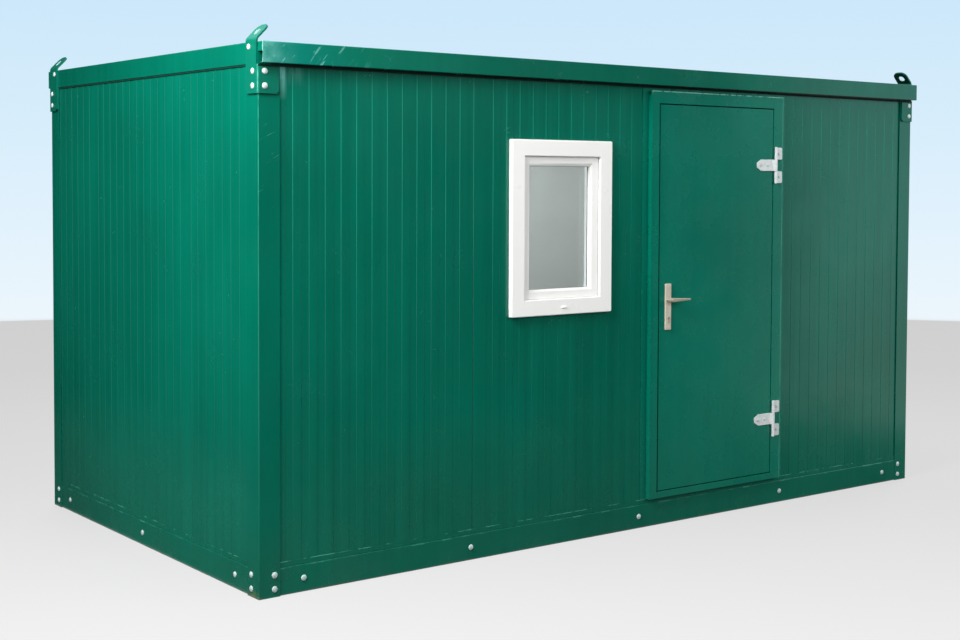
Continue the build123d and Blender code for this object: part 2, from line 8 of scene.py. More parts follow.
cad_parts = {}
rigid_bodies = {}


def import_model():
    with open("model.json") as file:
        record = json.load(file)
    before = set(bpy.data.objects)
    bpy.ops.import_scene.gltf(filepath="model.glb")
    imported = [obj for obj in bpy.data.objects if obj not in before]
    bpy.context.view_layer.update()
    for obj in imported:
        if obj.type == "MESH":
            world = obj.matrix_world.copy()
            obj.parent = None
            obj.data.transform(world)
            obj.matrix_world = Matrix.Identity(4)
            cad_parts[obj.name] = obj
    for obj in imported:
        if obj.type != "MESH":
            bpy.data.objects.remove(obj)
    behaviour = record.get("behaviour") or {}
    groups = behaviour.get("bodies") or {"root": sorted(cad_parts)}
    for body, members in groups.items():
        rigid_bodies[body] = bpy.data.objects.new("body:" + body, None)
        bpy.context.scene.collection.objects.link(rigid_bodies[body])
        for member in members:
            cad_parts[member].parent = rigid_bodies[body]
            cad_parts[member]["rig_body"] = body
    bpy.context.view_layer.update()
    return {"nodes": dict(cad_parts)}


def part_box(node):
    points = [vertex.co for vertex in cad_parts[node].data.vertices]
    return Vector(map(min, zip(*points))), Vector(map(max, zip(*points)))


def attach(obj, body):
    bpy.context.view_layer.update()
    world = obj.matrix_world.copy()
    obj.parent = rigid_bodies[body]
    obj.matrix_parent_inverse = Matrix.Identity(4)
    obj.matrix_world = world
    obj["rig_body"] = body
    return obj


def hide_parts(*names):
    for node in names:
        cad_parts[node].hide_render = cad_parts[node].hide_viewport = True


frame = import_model()

# ---------------------------------------------------------------- camera
# A short telephoto view of the door side and the left end, from eye height. The
# heading turns from +X towards +Y and the tilt is below the level line.
def placed(name, data):
    """A new object in the scene that holds the data."""
    thing = bpy.data.objects.new(name, data)
    bpy.context.scene.collection.objects.link(thing)
    return thing


camera_place = (-5.0423, -6.5622, 1.7378)
camera_heading = math.radians(52.302)
camera_tilt = math.radians(-2.25)
camera_roll = math.radians(0.268)
camera_data = bpy.data.cameras.new("studio_camera")
camera_data.lens = 55.813
camera_data.sensor_width = 36
camera_data.shift_x = -0.02664
camera_data.shift_y = -0.08483
camera = placed("studio_camera", camera_data)
camera.matrix_world = (
    Matrix.Translation(camera_place)
    @ Matrix.Rotation(camera_heading - math.pi / 2, 4, "Z")
    @ Matrix.Rotation(math.pi / 2 + camera_tilt, 4, "X")
    @ Matrix.Rotation(camera_roll, 4, "Z")
)
bpy.context.scene.camera = camera
bpy.context.scene.view_settings.view_transform = "Standard"


# ---------------------------------------------------------------- studio
# A pale blue backdrop that meets a pale grey floor, with soft lamps on every side and
# one in the room. The floor is a broad round sheet that darkens slowly to its rim.
def linear(code):
    """An sRGB hex colour as linear light with full alpha."""
    parts = [int(code[i : i + 2], 16) / 255 for i in (1, 3, 5)]
    return [c / 12.92 if c <= 0.04045 else ((c + 0.055) / 1.055) ** 2.4 for c in parts] + [1.0]


def in_use(node):
    """The first output that a node's settings leave in use."""
    return next(socket for socket in node.outputs if socket.enabled)


def add_node(tree, kind, inputs=(), **settings):
    """Add one node, set its properties, then fill its inputs or link nodes to them."""
    node = tree.nodes.new(kind)
    for key, value in settings.items():
        setattr(node, key, value)
    for key, value in dict(inputs).items():
        if isinstance(value, bpy.types.Node):
            value = in_use(value)
        if isinstance(value, bpy.types.NodeSocket):
            tree.links.new(value, node.inputs[key])
        else:
            node.inputs[key].default_value = value
    return node


def product(tree, *values):
    """The values multiplied together."""
    whole = values[0]
    for value in values[1:]:
        whole = add_node(tree, "ShaderNodeMath", {0: whole, 1: value}, operation="MULTIPLY")
    return whole


def either(tree, *values):
    """The greatest of the values at each point."""
    most = values[0]
    for value in values[1:]:
        most = add_node(tree, "ShaderNodeMath", {0: most, 1: value}, operation="MAXIMUM")
    return most


def set_stops(ramp_node, stops):
    """Give a colour ramp its stops as (place, hex colour)."""
    ramp = ramp_node.color_ramp
    while len(ramp.elements) < len(stops):
        ramp.elements.new(1.0)
    for element, (place, code) in zip(ramp.elements, stops):
        element.position = place
        element.color = linear(code)


def in_sight(tree):
    """One where the eye meets a surface straight on, mirrored or through glass."""
    rays = add_node(tree, "ShaderNodeLightPath").outputs
    return either(tree, rays["Is Camera Ray"], rays["Is Glossy Ray"], rays["Is Transmission Ray"])


def bare_material(name):
    """A new material and its node tree, with no nodes yet."""
    material = bpy.data.materials.new(name)
    material.use_nodes = True
    material.node_tree.nodes.clear()
    return material, material.node_tree


backdrop_top = 0.1114
backdrop_foot = -0.30
horizon = -0.0901
horizon_blur = 0.002
upright = (-0.00255, 0.00191, 1.0)
world = bpy.data.worlds.new("studio")
bpy.context.scene.world = world
world.use_nodes = True
tree = world.node_tree
tree.nodes.clear()
direction = add_node(tree, "ShaderNodeTexCoord").outputs["Generated"]
rise = add_node(tree, "ShaderNodeVectorMath", {0: direction, 1: upright}, operation="DOT_PRODUCT")
height = add_node(tree, "ShaderNodeMapRange", {0: rise, 1: backdrop_foot, 2: backdrop_top})
edge = (horizon - backdrop_foot) / (backdrop_top - backdrop_foot)
shade = add_node(tree, "ShaderNodeValToRGB", {0: height})
set_stops(
    shade,
    [
        (0.0, "#EEEEEE"),
        (edge - horizon_blur, "#D0D0D0"),
        (edge + horizon_blur, "#ECF6FC"),
        (0.69, "#E0F1FD"),
        (0.82, "#D7EDFB"),
        (1.0, "#CDE8FB"),
    ],
)
fill = add_node(tree, "ShaderNodeBackground", {"Color": linear("#F4F7FA"), "Strength": 0.3})
backdrop = add_node(tree, "ShaderNodeBackground", {"Color": shade, "Strength": 1.0})
both = add_node(tree, "ShaderNodeMixShader", {0: in_sight(tree), 1: fill, 2: backdrop})
add_node(tree, "ShaderNodeOutputWorld", {"Surface": both})

floor_radius = 19.21
floor_middle = (-4.497, -6.970, -0.001)
shape = bmesh.new()
bmesh.ops.create_circle(shape, cap_ends=True, segments=256, radius=floor_radius)
floor_mesh = bpy.data.meshes.new("studio_floor")
shape.to_mesh(floor_mesh)
shape.free()
floor_mesh.transform(Matrix.Translation(floor_middle))
studio_floor = placed("studio_floor", floor_mesh)

paper, tree = bare_material("seamless_floor_paper")
place = add_node(tree, "ShaderNodeTexCoord").outputs["Object"]
inset = add_node(tree, "ShaderNodeVectorMath", {0: place, 1: floor_middle}, operation="DISTANCE")
far = add_node(tree, "ShaderNodeMath", {0: inset, 1: floor_radius}, operation="DIVIDE")
tone = add_node(tree, "ShaderNodeValToRGB", {0: far})
set_stops(
    tone,
    [
        (0.292, "#EFEFEF"),
        (0.351, "#E8E8E8"),
        (0.418, "#E1E1E1"),
        (0.496, "#DCDCDC"),
        (0.609, "#D7D7D7"),
        (0.746, "#D2D2D2"),
        (1.0, "#D0D0D0"),
    ],
)
plain = add_node(tree, "ShaderNodeEmission", {"Color": tone, "Strength": 1.0})
# The paper is greyer to diffuse rays, so it throws little light back up the walls.
diffuse = add_node(tree, "ShaderNodeLightPath").outputs["Is Diffuse Ray"]
thrown = add_node(
    tree, "ShaderNodeMix", {0: diffuse, 6: linear("#C4C4C4"), 7: linear("#808080")}, data_type="RGBA"
)
lit = add_node(
    tree, "ShaderNodeBsdfPrincipled", {"Base Color": thrown, "Roughness": 0.9, "Specular IOR Level": 0.1}
)
# Close to the cabin a part of the tone is lit, so that the cabin's shadow shows on it.
lit_reach = 2.6
plain_reach = 5.0
plain_share = 0.85
reach = add_node(tree, "ShaderNodeVectorMath", {0: place}, operation="LENGTH")
ease = add_node(
    tree, "ShaderNodeMapRange", {0: reach, 1: lit_reach, 2: plain_reach, 3: plain_share, 4: 1.0}
)
share = product(tree, ease, in_sight(tree))
both = add_node(tree, "ShaderNodeMixShader", {0: share, 1: lit, 2: plain})
add_node(tree, "ShaderNodeOutputMaterial", {"Surface": both})
floor_mesh.materials.append(paper)

# Felt flags out of view deepen what the paint reflects. Three stand well clear of the
# cabin, and runners lie on the floor between them and the walls.
black_felt = "#0A0C0B"
grey_felt = "#1E1E1E"
pale_felt = "#2A2A2A"
# Each sheet is given by two opposite corners and its tone.
for flag_name, low, high, felt_tone in (
    ("end_flag", (-7.5, 4.5, 0.0), (-2.5, 4.5, 4.5), black_felt),
    ("front_flag", (-3.0, -4.1, 0.0), (4.3, -4.1, 4.5), black_felt),
    ("back_flag", (-2.5, 4.6, 0.0), (6.0, 4.6, 4.5), black_felt),
    ("end_runner", (-7.5, -2.0, 0.0), (-3.2, 4.5, 0.0), black_felt),
    ("end_near_runner", (-3.2, -1.3, 0.0), (-2.135, 4.5, 0.0), pale_felt),
    ("front_runner", (-3.0, -4.1, 0.0), (3.4, -1.145, 0.0), pale_felt),
    ("back_runner", (-2.135, 1.145, 0.0), (6.0, 4.5, 0.0), grey_felt),
    ("far_end_runner", (2.135, -1.0, 0.0), (6.0, 1.145, 0.0), grey_felt),
):
    corners = [low, (high[0], low[1], low[2]), high, (low[0], high[1], high[2])]
    flag_mesh = bpy.data.meshes.new(flag_name)
    flag_mesh.from_pydata(corners, [], [(0, 1, 2, 3)])
    flag = placed(flag_name, flag_mesh)
    flag.visible_camera = False
    flag.visible_diffuse = False
    flag.visible_shadow = False
    felt = bpy.data.materials.new(flag_name + "_felt")
    felt.use_nodes = True
    felt_shader = felt.node_tree.nodes["Principled BSDF"]
    felt_shader.inputs["Base Color"].default_value = linear(felt_tone)
    felt_shader.inputs["Roughness"].default_value = 1.0
    flag_mesh.materials.append(felt)


def add_lamp(name, place, power, size):
    """A soft square lamp that neither the camera nor a reflection sees."""
    lamp_data = bpy.data.lights.new(name, "AREA")
    lamp_data.energy = power
    lamp_data.size = size
    lamp = placed(name, lamp_data)
    lamp.location = place
    lamp.visible_camera = False
    lamp.visible_glossy = False
    return lamp


# Each lamp has a place, a point it faces, a power in watts and a width.
for lamp_name, place, aim, power, size in (
    ("corner_softbox", (-4.4, -2.0, 3.9), (-2.1, -0.8, 1.8), 385, 2.0),
    ("front_softbox", (-1.5, -9.5, 5.5), (-0.6, -1.0, 1.2), 115, 4.0),
    ("right_softbox", (3.5, -7.5, 4.0), (1.2, -1.1, 1.4), 155, 3.0),
    ("door_softbox", (4.2, -4.2, 3.2), (1.4, -1.1, 1.4), 55, 1.6),
    ("back_softbox", (0.5, 7.0, 5.0), (0.0, 1.1, 1.2), 440, 4.0),
    ("far_end_softbox", (6.5, 0.8, 3.5), (2.1, 0.0, 1.2), 210, 2.5),
):
    lamp = add_lamp(lamp_name, place, power, size)
    lamp.rotation_euler = (Vector(aim) - Vector(place)).to_track_quat("-Z", "Y").to_euler()
# One long lamp lights the room from under the ceiling.
room_lamp = add_lamp("room_light", (0, 0, 2.19), 43, 3.2)
room_lamp.data.shape = "RECTANGLE"
room_lamp.data.size_y = 1.4
room_lamp.visible_transmission = False


# ---------------------------------------------------------------- floor rails
# Folded steel channels in gloss green enamel that carry the deck and the walls. They
# are bolted through the corner posts, and splashes and dust dull them near the ground.
def merged(node):
    """An editable copy of a CAD piece with its loose triangles joined up again."""
    shape = bmesh.new()
    shape.from_mesh(frame["nodes"][node].data)
    bmesh.ops.remove_doubles(shape, verts=shape.verts, dist=0.00002)
    bmesh.ops.dissolve_limit(shape, angle_limit=math.radians(0.6), verts=shape.verts, edges=shape.edges)
    return shape


def ease_edges(shape, edges, size, steps=2):
    """Round the given edges off by a small radius."""
    bmesh.ops.bevel(
        shape,
        geom=edges,
        offset=size,
        offset_type="OFFSET",
        segments=steps,
        profile=0.5,
        affect="EDGES",
        clamp_overlap=True,
    )


def sharp_edges(shape, least_bend=0.7):
    """Every edge where two faces meet at more than about forty degrees."""
    return [e for e in shape.edges if len(e.link_faces) == 2 and e.calc_face_angle() > least_bend]


def smooth_piece(name, shape, materials):
    """A new object from a shape, its flat faces evenly shaded right up to their bends."""
    mesh = bpy.data.meshes.new(name)
    shape.to_mesh(mesh)
    shape.free()
    if "custom_normal" in mesh.attributes:
        mesh.attributes.remove(mesh.attributes["custom_normal"])
    for material in materials:
        mesh.materials.append(material)
    mesh.shade_smooth()
    mesh.set_sharp_from_angle(angle=math.radians(32))
    piece = placed(name, mesh)
    evened = piece.modifiers.new("even flat faces", "WEIGHTED_NORMAL")
    evened.weight = 100
    evened.keep_sharp = True
    graph = bpy.context.evaluated_depsgraph_get()
    evened_mesh = bpy.data.meshes.new_from_object(piece.evaluated_get(graph))
    piece.modifiers.clear()
    piece.data = evened_mesh
    bpy.data.meshes.remove(mesh)
    evened_mesh.name = name
    return piece


def dress(shape, node, materials):
    """Turn an edited copy into the finished piece that is seen in place of its node."""
    piece = smooth_piece(node + "_finished", shape, materials)
    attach(piece, frame["nodes"][node]["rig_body"])
    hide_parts(node)


def finish_node(node, material, ease=0.0, steps=2):
    """Dress a CAD piece in one material, its edges eased where a size is given."""
    shape = merged(node)
    if ease:
        ease_edges(shape, sharp_edges(shape), ease, steps)
    dress(shape, node, [material])


def finish_off(tree, inputs):
    """Give a material its one shader, named paint, with the inputs filled or linked."""
    shader = add_node(tree, "ShaderNodeBsdfPrincipled", inputs)
    shader.name = "paint"
    add_node(tree, "ShaderNodeOutputMaterial", {"Surface": shader})


def green_paint(name, deep, light, roughness, wave, streaks=0.35, dust=0.15, dust_top=0.3):
    """Green paint on sheet steel: colour drift, water runs, foot dust, painted under-shade, soft waves."""
    material, tree = bare_material(name)
    place = add_node(tree, "ShaderNodeTexCoord").outputs["Object"]
    drift = add_node(
        tree, "ShaderNodeTexNoise", {"Vector": place, "Scale": 1.1, "Detail": 3.0, "Roughness": 0.5}
    )
    tall = add_node(tree, "ShaderNodeMapping", {"Vector": place, "Scale": (22.0, 22.0, 0.55)})
    runs = add_node(tree, "ShaderNodeTexNoise", {"Vector": tall, "Scale": 1.0, "Detail": 4.0})
    mixed = add_node(tree, "ShaderNodeMath", {0: runs, 1: streaks, 2: drift}, operation="MULTIPLY_ADD")
    toned = add_node(
        tree, "ShaderNodeMapRange", {0: mixed, 1: 0.35 + 0.35 * streaks, 2: 0.62 + 0.65 * streaks}
    )
    # Dust settles in patches near the ground, and faces turned downwards are darkened with painted shade.
    height = add_node(tree, "ShaderNodeSeparateXYZ", {0: place}).outputs["Z"]
    low = add_node(tree, "ShaderNodeMapRange", {0: height, 1: 0.0, 2: dust_top, 3: dust, 4: 0.0})
    patch = add_node(
        tree, "ShaderNodeTexNoise", {"Vector": place, "Scale": 5.0, "Detail": 6.0, "Roughness": 0.65}
    )
    settled = product(tree, low, patch)
    turned = add_node(tree, "ShaderNodeNewGeometry").outputs["Normal"]
    turned = add_node(tree, "ShaderNodeSeparateXYZ", {0: turned}).outputs["Z"]
    # Painted shade: faces that turn downwards go nearly black, as if in shadow.
    under = add_node(tree, "ShaderNodeMapRange", {0: turned, 1: -0.2, 2: -0.7, 3: 0.0, 4: 0.88})
    colour = linear(deep)
    for share, code in (
        (toned, light),
        (settled, "#4E6E5C"),
        (under, "#05130E"),
    ):
        colour = add_node(tree, "ShaderNodeMix", {0: share, 6: colour, 7: linear(code)}, data_type="RGBA")
    sheen = add_node(
        tree, "ShaderNodeMapRange", {0: patch, 1: 0.3, 2: 0.7, 3: roughness - 0.05, 4: roughness + 0.07}
    )
    duller = add_node(tree, "ShaderNodeMath", {0: settled, 1: 0.5, 2: sheen}, operation="MULTIPLY_ADD")
    swell = add_node(tree, "ShaderNodeTexNoise", {"Vector": place, "Scale": 4.0, "Detail": 1.0})
    peel = add_node(tree, "ShaderNodeTexNoise", {"Vector": place, "Scale": 260.0, "Detail": 2.0})
    soft = add_node(tree, "ShaderNodeBump", {"Height": swell, "Strength": wave, "Distance": 0.004})
    fine = add_node(
        tree, "ShaderNodeBump", {"Height": peel, "Strength": 0.3, "Distance": 0.0004, "Normal": soft}
    )
    finish_off(tree, {"Base Color": colour, "Roughness": duller, "Normal": fine, "IOR": 1.5})
    return material


def wear_through(material, make_mask, code, roughness):
    """Lay a worn or dirty layer over a paint, wherever its mask is white."""
    tree = material.node_tree
    shader = tree.nodes["paint"]
    place = add_node(tree, "ShaderNodeTexCoord").outputs["Object"]
    mask = make_mask(tree, place)
    for socket, kind, first, second, worn in (
        ("Base Color", "RGBA", 6, 7, linear(code)),
        ("Roughness", "FLOAT", 2, 3, roughness),
    ):
        under = shader.inputs[socket].links[0].from_socket
        mixed = add_node(tree, "ShaderNodeMix", {0: mask, first: under, second: worn}, data_type=kind)
        tree.links.new(in_use(mixed), shader.inputs[socket])


def along(tree, place, axis, start, end):
    """One at start and nought at end along one axis, clamped."""
    value = add_node(tree, "ShaderNodeSeparateXYZ", {0: place}).outputs[axis]
    return add_node(tree, "ShaderNodeMapRange", {0: value, 1: start, 2: end, 3: 1.0, 4: 0.0})


def flecks(tree, place, scale, low, high, stretch=(1.0, 1.0, 1.0)):
    """Scattered patches, scale to a metre; a narrow range from low to high is crisp."""
    moved = add_node(tree, "ShaderNodeMapping", {"Vector": place, "Scale": stretch})
    cloud = add_node(
        tree, "ShaderNodeTexNoise", {"Vector": moved, "Scale": scale, "Detail": 5.0, "Roughness": 0.6}
    )
    return add_node(tree, "ShaderNodeMapRange", {0: cloud, 1: low, 2: high})


def rail_rub_and_highlight(tree, place):
    """Pale streaks on the rounded top edge of the rail: rubbing, and a painted highlight on the bend."""
    top = along(tree, place, "Z", 0.1165, 0.118)
    foot = along(tree, place, "Z", 0.1125, 0.111)
    return product(tree, top, foot, flecks(tree, place, 7.0, 0.52, 0.62), 0.45)


def foot_stain(tree, place):
    """A broken brown line of rust and mud along the lowest edge."""
    return product(tree, along(tree, place, "Z", 0.003, 0.010), flecks(tree, place, 9.0, 0.5, 0.6), 0.7)


# Gloss enamel, sprayed: the wettest shine on the cabin, greyer where dust has settled.
enamel_tones = ("#005846", "#006450")
frame_enamel = green_paint("gloss_frame_enamel", *enamel_tones, roughness=0.2, wave=0.25)
# Pale rubbing and a painted highlight along the rail's top bend.
wear_through(frame_enamel, rail_rub_and_highlight, "#4FA08A", 0.4)
wear_through(frame_enamel, foot_stain, "#5A4638", 0.8)
for node in ("floor_rail_front", "floor_rail_back", "floor_rail_left", "floor_rail_right"):
    finish_node(node, frame_enamel)


# ---------------------------------------------------------------- floor joists
# Box section joists in thin grey primer, welded between the long rails. They are
# seen only from below.
def plain_finish(name, deep, light, scale, roughness, bump, metallic=0.0, spread=0.08):
    """A finish of two close tones in a cloudy pattern of that many clouds to a metre."""
    material, tree = bare_material(name)
    place = add_node(tree, "ShaderNodeTexCoord").outputs["Object"]
    cloud = add_node(
        tree, "ShaderNodeTexNoise", {"Vector": place, "Scale": scale, "Detail": 5.0, "Roughness": 0.6}
    )
    tone = add_node(tree, "ShaderNodeMapRange", {0: cloud, 1: 0.3, 2: 0.7})
    colour = add_node(
        tree, "ShaderNodeMix", {0: tone, 6: linear(deep), 7: linear(light)}, data_type="RGBA"
    )
    sheen = add_node(
        tree,
        "ShaderNodeMapRange",
        {0: cloud, 1: 0.3, 2: 0.7, 3: roughness + spread, 4: roughness - spread},
    )
    relief = add_node(tree, "ShaderNodeBump", {"Height": cloud, "Strength": bump, "Distance": 0.0006})
    finish_off(tree, {"Base Color": colour, "Roughness": sheen, "Normal": relief, "Metallic": metallic})
    return material


# Zinc phosphate primer: flat and a little chalky.
joist_primer = plain_finish("grey_zinc_primer", "#6B716F", "#868C89", scale=9.0, roughness=0.62, bump=0.2)
finish_node("floor_joists", joist_primer)

# ---------------------------------------------------------------- floor deck
# Film faced plywood sheets on the joists, with a pressed anti-slip mesh. The film is
# dark brown with a low shine and cloudy scuffs.
deck_film = plain_finish("brown_phenolic_film", "#3A2A20", "#4E3A2C", scale=6.0, roughness=0.45, bump=0.1)
tree = deck_film.node_tree
mesh_pitch = 0.006
place = add_node(tree, "ShaderNodeTexCoord").outputs["Object"]
cells = add_node(
    tree,
    "ShaderNodeTexVoronoi",
    {"Vector": place, "Scale": 1 / mesh_pitch, "Randomness": 0.15},
    feature="DISTANCE_TO_EDGE",
)
pressed = add_node(tree, "ShaderNodeBump", {"Height": cells, "Strength": 0.5, "Distance": 0.0005})
tree.links.new(in_use(pressed), tree.nodes["paint"].inputs["Normal"])
finish_node("floor_deck", deck_film)


# ---------------------------------------------------------------- corner posts
# Folded angles that lap each corner from the ground to the roof. The front left one's
# bend is rubbed and carries a painted highlight, and its foot has a smear of olive mud.
def mud_mask(tree, place):
    """Mud on the lowest few centimetres of the left end's front corner."""
    low = along(tree, place, "Z", 0.008, 0.036)
    near = along(tree, place, "X", -2.1245, -2.122)
    front = along(tree, place, "Y", -1.06, -1.02)
    patch = add_node(
        tree, "ShaderNodeTexNoise", {"Vector": place, "Scale": 38.0, "Detail": 5.0, "Roughness": 0.7}
    )
    spots = add_node(tree, "ShaderNodeMapRange", {0: patch, 1: 0.42, 2: 0.55})
    return product(tree, low, near, front, spots)


def arris_wear_and_highlight(tree, place):
    """The bend of the front left corner: broken rubbing and a painted highlight, strongest near its top."""
    left = along(tree, place, "X", -2.1235, -2.1215)
    front = along(tree, place, "Y", -1.1335, -1.1315)
    low = along(tree, place, "Z", 2.1, 0.9)
    long_gaps = flecks(tree, place, 30.0, 0.38, 0.5, (1.0, 1.0, 0.25))
    return product(tree, left, front, low, long_gaps, 0.25)


def scratches(tree, place, slant, low, high, stretch):
    """Fine parallel lines at a slant, in degrees, across the front."""
    slanted = add_node(
        tree, "ShaderNodeMapping", {"Vector": place, "Rotation": (0.0, math.radians(slant), 0.0)}
    )
    return flecks(tree, slanted, 1.0, low, high, stretch)


def post_scratches(tree, place):
    """Fine slanting scratches on the front leg of the front left post."""
    lines = scratches(tree, place, 28, 0.66, 0.7, (9.0, 1.0, 170.0))
    front = along(tree, place, "Y", -1.1345, -1.1335)
    left = along(tree, place, "X", -2.03, -2.02)
    top = along(tree, place, "Z", 1.95, 2.05)
    foot = along(tree, place, "Z", 1.65, 1.5)
    return product(tree, lines, front, left, top, foot, 0.4)


def plate_foot_painted_shadow(tree, place):
    """Painted shadow: a thin dark line under the foot of each lifting plate."""
    foot = along(tree, place, "Z", 2.0845, 2.0825)
    top = along(tree, place, "Z", 2.0885, 2.0895)
    return product(tree, foot, top, 0.5)


post_enamel = green_paint("rubbed_post_enamel", *enamel_tones, roughness=0.2, wave=0.25)
wear_through(post_enamel, arris_wear_and_highlight, "#3FC0A0", 0.35)
wear_through(post_enamel, post_scratches, "#7CC4AE", 0.4)
wear_through(post_enamel, plate_foot_painted_shadow, "#06231B", 0.6)
wear_through(post_enamel, mud_mask, "#5F6A3E", 0.7)
wear_through(post_enamel, foot_stain, "#5A4638", 0.8)
for node in frame["nodes"]:
    if node.startswith("corner_post"):
        finish_node(node, post_enamel)

# ---------------------------------------------------------------- lifting plates
# Eight millimetre corner brackets, flame cut and folded, whose end leg turns in over
# the roof as a lug with a shackle eye. Cut edges are eased and worn eyes are bright.
def plate_arris(tree, place):
    """The front left plate's bend, rubbed to a pale broken line."""
    left = along(tree, place, "X", -2.1300, -2.1275)
    front = along(tree, place, "Y", -1.1400, -1.1375)
    return product(tree, left, front, flecks(tree, place, 60.0, 0.44, 0.52, (1.0, 1.0, 0.5)), 0.8)


def gutter_painted_shadow(tree, place):
    """Painted shadow: a black band on the top edge of each plate, close under the gutter."""
    mirrored = add_node(tree, "ShaderNodeVectorMath", {0: place}, operation="ABSOLUTE")
    foot = along(tree, place, "Z", 2.1970, 2.1955)
    top = along(tree, place, "Z", 2.2090, 2.2100)
    return product(tree, foot, top, along(tree, mirrored, "Y", 1.1400, 1.1395), 0.95)


eye_place = (2.100050, 1.088, 2.338891)
eye_axis = (math.sqrt(0.5), 0.0, math.sqrt(0.5))
eye_worn = 0.0176
eye_sound = 0.0181


def eye_wear(tree, place):
    """Bright bare metal inside the four eyes, where shackle pins turn."""
    mirrored = add_node(tree, "ShaderNodeVectorMath", {0: place}, operation="ABSOLUTE")
    off = add_node(tree, "ShaderNodeVectorMath", {0: mirrored, 1: eye_place}, operation="SUBTRACT")
    across = add_node(tree, "ShaderNodeVectorMath", {0: off, 1: eye_axis}, operation="CROSS_PRODUCT")
    reach = add_node(tree, "ShaderNodeVectorMath", {0: across}, operation="LENGTH")
    return add_node(tree, "ShaderNodeMapRange", {0: reach, 1: eye_worn, 2: eye_sound, 3: 1.0, 4: 0.0})


plate_enamel = green_paint("flame_cut_plate_enamel", *enamel_tones, roughness=0.34, wave=0.15, streaks=0.2)
wear_through(plate_enamel, plate_arris, "#6CC0A8", 0.4)
wear_through(plate_enamel, gutter_painted_shadow, "#081A15", 0.8)
wear_through(plate_enamel, eye_wear, "#A6C8C0", 0.45)
# Shackles have worn the rim of each eye round, and the other edges are only eased.
eye_reach = 0.0195
rim_ease = 0.0032
plate_ease = 0.0008
for node in frame["nodes"]:
    if node.startswith("lifting_plate"):
        shape = merged(node)
        low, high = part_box(node)
        eye = Vector([math.copysign(size, low[i] + high[i]) for i, size in enumerate(eye_place)])
        eye.z = eye_place[2]
        rim = [
            edge
            for edge in sharp_edges(shape)
            if ((edge.verts[0].co + edge.verts[1].co) / 2 - eye).length < eye_reach
        ]
        ease_edges(shape, rim, rim_ease, 3)
        ease_edges(shape, sharp_edges(shape), plate_ease)
        dress(shape, node, [plate_enamel])

# ---------------------------------------------------------------- wall tracks
# Light folded channels on the floor rails that hold the feet of the wall panels. The
# rim stands a finger's width above the rail and catches the light in broken dashes.
def rim_rub_and_highlight(tree, place):
    """Broken bright dashes along the top rim of the track: rubbing and a painted highlight."""
    return product(tree, along(tree, place, "Z", 0.1405, 0.1385), flecks(tree, place, 12.0, 0.5, 0.58), 0.6)


track_enamel = green_paint("folded_track_enamel", *enamel_tones, roughness=0.24, wave=0.2)
wear_through(track_enamel, rim_rub_and_highlight, "#5FB09A", 0.4)
finish_node("wall_tracks", track_enamel)

# ---------------------------------------------------------------- wall panels
# Foam filled sandwich panels with a thin coil coated sheet outside, rolled with shallow
# ribs, and a flat off-white lining sheet. They stand side by side with a fine V joint.
front_wall = ("Y", -1.11, -1.10)


def pale_bluish_smear(tree, place):
    """Pale bluish smears on the front wall just under the roof by the left corner."""
    front = along(tree, place, "Y", -1.129, -1.127)
    drawn = flecks(tree, place, 20.0, 0.35, 0.62, (1.6, 1.0, 0.22))
    first = product(
        tree,
        along(tree, place, "X", -2.000, -1.985),
        along(tree, place, "Z", 2.18, 2.06),
        either(tree, drawn, 0.6),
    )
    second = product(
        tree, along(tree, place, "X", -1.94, -1.90), along(tree, place, "Z", 2.17, 2.12), drawn, 0.2
    )
    return product(tree, front, either(tree, first, second), 0.6)


def rib_painted_highlight(tree, place):
    """Painted highlight on the upper half of the front ribs, where their shoulders are paler."""
    return product(tree, along(tree, place, *front_wall), along(tree, place, "Z", 2.15, 1.25))


def far_rib_painted_highlight(tree, place):
    """Painted highlight on the ribs beyond the door, whose shoulders look nearly white near the roof."""
    front = along(tree, place, *front_wall)
    right = along(tree, place, "X", 1.03, 1.02)
    return product(tree, front, right, along(tree, place, "Z", 2.2, 1.3), 0.6)


def rib_painted_shade(tree, place):
    """Painted shade on the left end's ribs and the lower half of the front's."""
    low = product(tree, along(tree, place, *front_wall), along(tree, place, "Z", 0.7, 1.6))
    return either(tree, along(tree, place, "X", -2.095, -2.090), low)


def jamb_painted_shadow(tree, place):
    """Painted shadow: a dark band on the wall close beside the door frame's hinge side."""
    front = along(tree, place, *front_wall)
    far = along(tree, place, "X", 1.022, 1.050)
    return product(tree, front, far, along(tree, place, "X", 1.0, 0.99), 0.5)


coil = {"roughness": 0.22, "dust": 0.12, "dust_top": 0.7}
coil_coat = green_paint("polyester_coil_coat", "#005846", "#006652", wave=0.4, streaks=0.6, **coil)
wear_through(coil_coat, jamb_painted_shadow, "#00382C", 0.4)
wear_through(coil_coat, pale_bluish_smear, "#90F0EA", 0.5)
# The rolled shoulders of the ribs are a little paler: painted highlight high on the front, painted shade
# low down and on the left end.
rib_shoulder = green_paint("rib_shoulder_painted_sheen", "#005A48", "#006753", wave=0.2, streaks=0.3, **coil)
wear_through(rib_shoulder, rib_painted_shade, "#005241", 0.5)
wear_through(rib_shoulder, rib_painted_highlight, "#087F68", 0.2)
wear_through(rib_shoulder, far_rib_painted_highlight, "#3F9A86", 0.3)
wear_through(rib_shoulder, pale_bluish_smear, "#90F0EA", 0.5)
# Off-white lining sheet: low shine, faintly clouded.
lining = plain_finish("off_white_lining", "#D9DAD8", "#E1E2E0", scale=7.0, roughness=0.5, bump=0.08)
joint_ease = 0.0022
at_plane = 0.0002
tall_edge = 1.0
